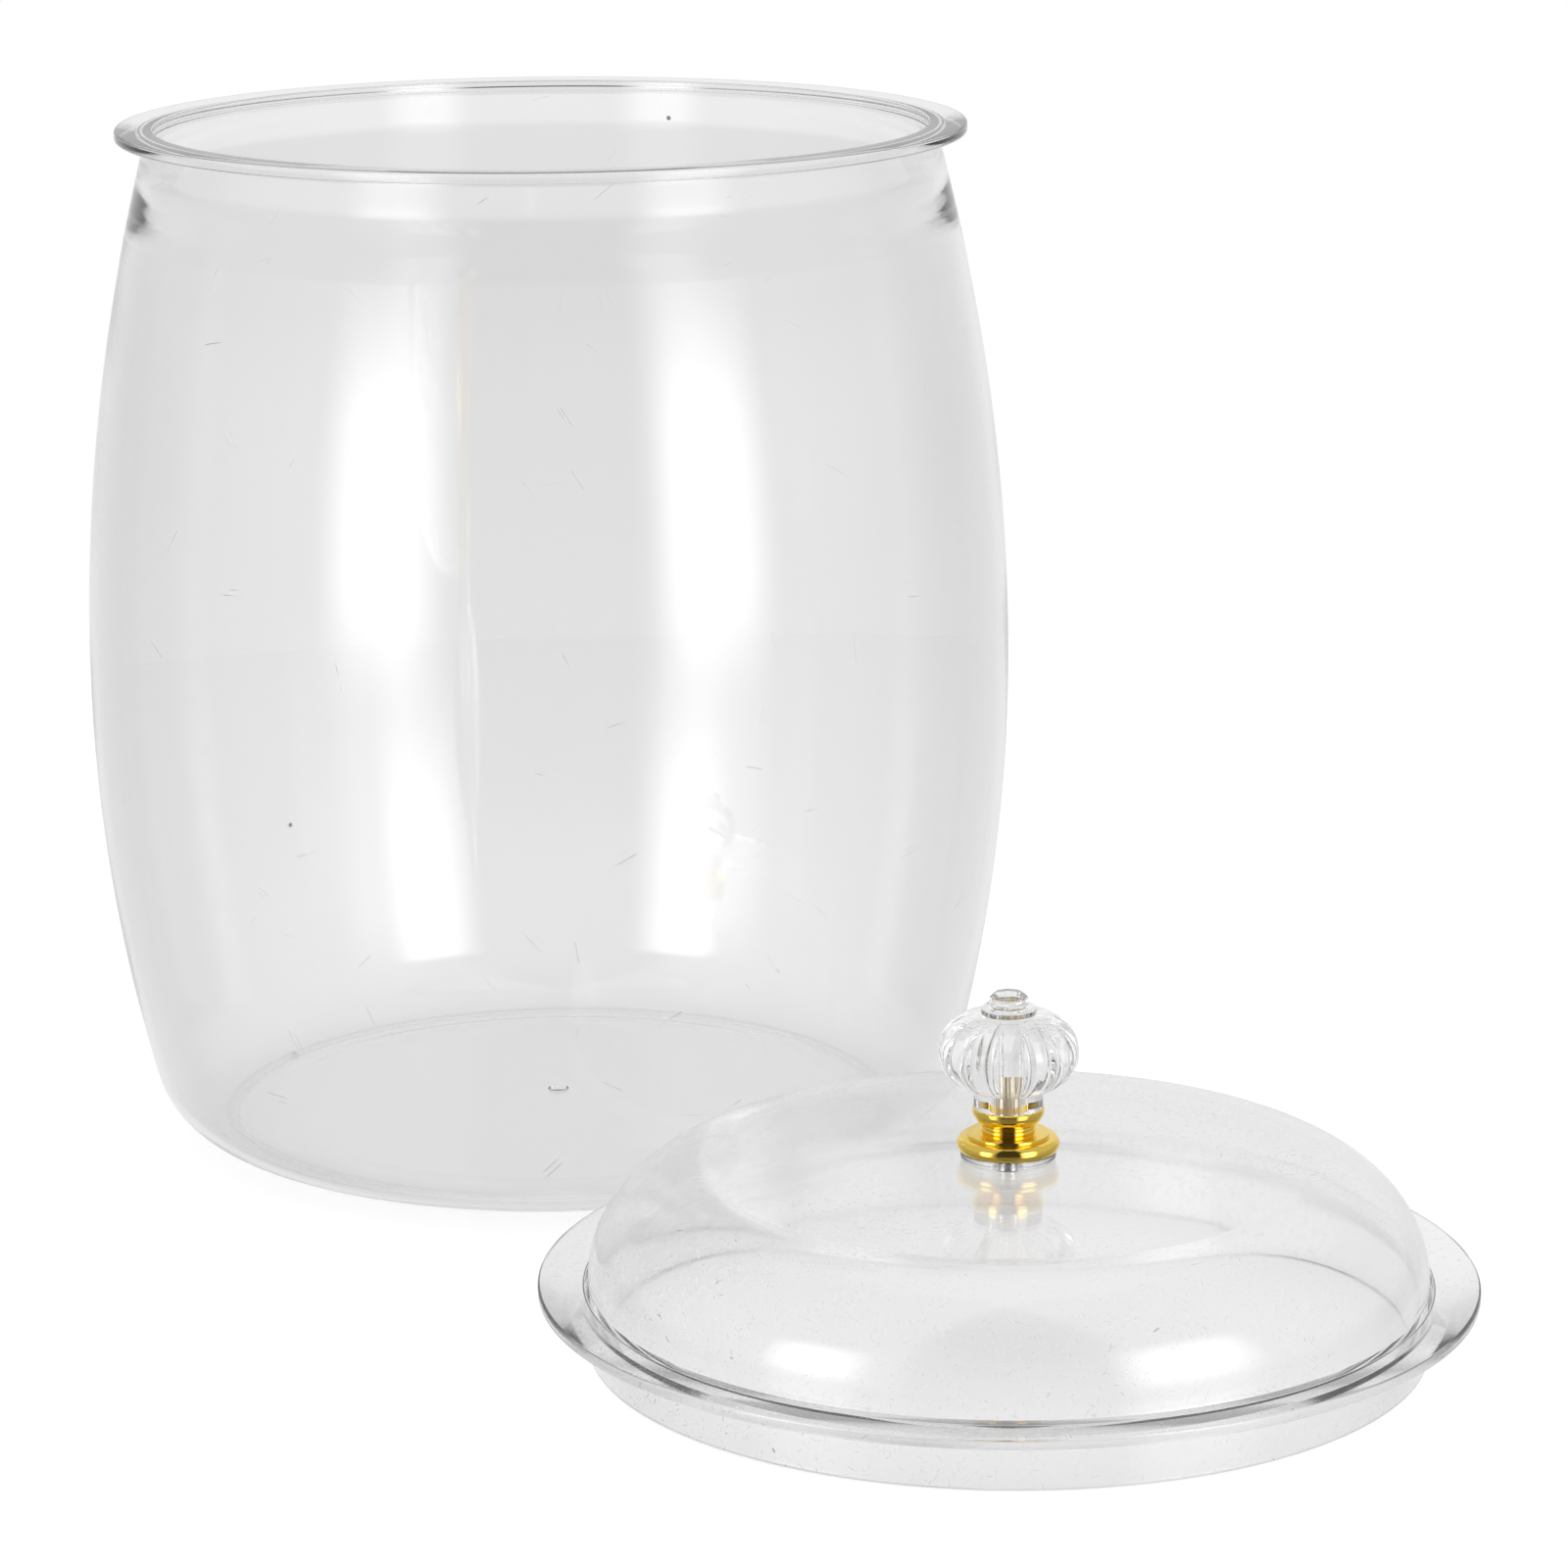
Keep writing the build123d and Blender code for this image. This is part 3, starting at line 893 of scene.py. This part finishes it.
def makeTable(size):
    bm = bmesh.new()
    bmesh.ops.create_circle(bm, cap_ends=True, segments=size["segments"], radius=size["radius"] * mm)
    place = Vector((size["centre"][0], size["centre"][1], -size["below"])) * mm
    bmesh.ops.translate(bm, verts=bm.verts, vec=place)
    mesh = bpy.data.meshes.new("table")
    bm.to_mesh(mesh)
    bm.free()
    material, tree = newMaterial("table_white")
    level = bySight(tree, 1.0, size["through"], 1.0)
    albedo = calculate(tree, "MULTIPLY", level, size["colour"])
    shade = addNode(tree, "CombineColor", {0: albedo, 1: albedo, 2: albedo}).outputs[0]
    diffuse = addNode(tree, "BsdfDiffuse", {"Color": shade})
    strength = calculate(tree, "MULTIPLY", level, size["glow"])
    glow = addNode(tree, "Emission", {"Color": (1, 1, 1, 1), "Strength": strength})
    both = addNode(tree, "AddShader", {0: diffuse.outputs[0], 1: glow.outputs[0]})
    camera, straight = sightRays(tree)
    shown = calculate(tree, "ADD", camera, straight)       # a mirror sees the room's lower half instead
    gone = addNode(tree, "BsdfTransparent")
    mixed = addNode(tree, "MixShader", {0: shown, 1: gone.outputs[0], 2: both.outputs[0]})
    addNode(tree, "OutputMaterial", {"Surface": mixed.outputs[0]})
    mesh.materials.append(material)
    table = bpy.data.objects.new("table", mesh)
    scene.collection.objects.link(table)


def panelGlow(panels):
    material, tree = newMaterial("panel_glow")
    corner = addNode(tree, "TexCoord").outputs["Generated"]
    across = addNode(tree, "SeparateXYZ", {"Vector": corner})
    step = remap(tree, across.outputs[1], *panels["lowerPart"], panels["lowShare"], 1.0)
    strength = calculate(tree, "MULTIPLY", step, panels["strength"], clamp=False)
    fades = (panels["sideFade"], panels["sideFade"]), (panels["lowFade"], panels["highFade"])
    for axis, (low, high) in enumerate(fades):
        rise = remap(tree, across.outputs[axis], 0.0, low, 0.0, 1.0)
        fall = remap(tree, across.outputs[axis], 1.0 - high, 1.0, 1.0, 0.0)
        both = calculate(tree, "MULTIPLY", rise, fall)
        strength = calculate(tree, "MULTIPLY", strength, both, clamp=False)
    mirrored = bySight(tree, 0.0, 0.0, strength)
    glow = addNode(tree, "Emission", {"Color": (1, 1, 1, 1), "Strength": mirrored})
    clear = addNode(tree, "BsdfTransparent")
    both = addNode(tree, "AddShader", {0: glow.outputs[0], 1: clear.outputs[0]})
    addNode(tree, "OutputMaterial", {"Surface": both.outputs[0]})
    return material


def makePanels(panels):
    material = panelGlow(panels)
    for i, turn in enumerate(panels["turns"]):
        angle = math.radians(turn)
        bm = bmesh.new()
        bmesh.ops.create_grid(bm, x_segments=1, y_segments=1, size=0.5)
        height = panels["high"] - panels["low"]
        bmesh.ops.scale(bm, vec=(panels["width"] * mm, height * mm, 1), verts=bm.verts)
        mesh = bpy.data.meshes.new(f"panel{i}")
        bm.to_mesh(mesh)
        bm.free()
        mesh.materials.append(material)
        panel = bpy.data.objects.new(f"panel{i}", mesh)
        spot = Vector((math.sin(angle), -math.cos(angle), 0)) * panels["distance"]
        spot.z = (panels["high"] + panels["low"]) / 2
        stand = Matrix.Rotation(math.radians(90), 4, "X")
        panel.matrix_world = Matrix.Translation(spot * mm) @ Matrix.Rotation(angle, 4, "Z") @ stand
        panel.visible_camera = False
        panel.visible_shadow = False
        scene.collection.objects.link(panel)


def makeOverhead(lamp):
    data = bpy.data.lights.new("overhead", "AREA")
    data.size = lamp["size"] * mm
    data.energy = lamp["power"]
    light = bpy.data.objects.new("overhead", data)
    light.location = (0, 0, lamp["height"] * mm)
    light.visible_camera = False
    light.visible_glossy = False
    light.visible_transmission = False
    scene.collection.objects.link(light)


def makeRoom(look):
    world = bpy.data.worlds.new("room")
    scene.world = world
    world.use_nodes = True
    tree = world.node_tree
    tree.nodes.clear()
    direction = addNode(tree, "TexCoord").outputs["Generated"]
    height = addNode(tree, "SeparateXYZ", {"Vector": direction}).outputs[2]
    level = vectorMath(tree, "MULTIPLY", direction, (1.0, 1.0, 0.0))
    level = vectorMath(tree, "NORMALIZE", level)
    turn = vectorMath(tree, "DOT_PRODUCT", level, (0.0, -1.0, 0.0), "Value")
    sides = remap(tree, height, *look["sidesRise"], look["sidesLow"], look["sidesHigh"])
    aside = remap(tree, turn, *look["sideSpan"], 0.0, 1.0)
    walls = mixValues(tree, aside, look["back"], sides)
    dark = remap(tree, turn, *look["frontSpan"], 0.0, 1.0)
    front = remap(tree, height, *look["frontRise"], look["frontLow"], look["frontHigh"])
    walls = mixValues(tree, dark, walls, front)
    floor = remap(tree, height, *look["floorRise"], look["floor"], 1.0)
    walls = calculate(tree, "MULTIPLY", walls, floor)
    through = remap(tree, height, *look["throughRise"], look["throughLow"], look["throughHigh"])
    strength = bySight(tree, 1.0, through, walls)
    background = addNode(tree, "Background", {"Color": (1, 1, 1, 1), "Strength": strength})
    addNode(tree, "OutputWorld", {"Surface": background.outputs[0]})


makeTable(tableSize)
makePanels(softPanels)
makeOverhead(overhead)
makeRoom(room)
print("stage made")
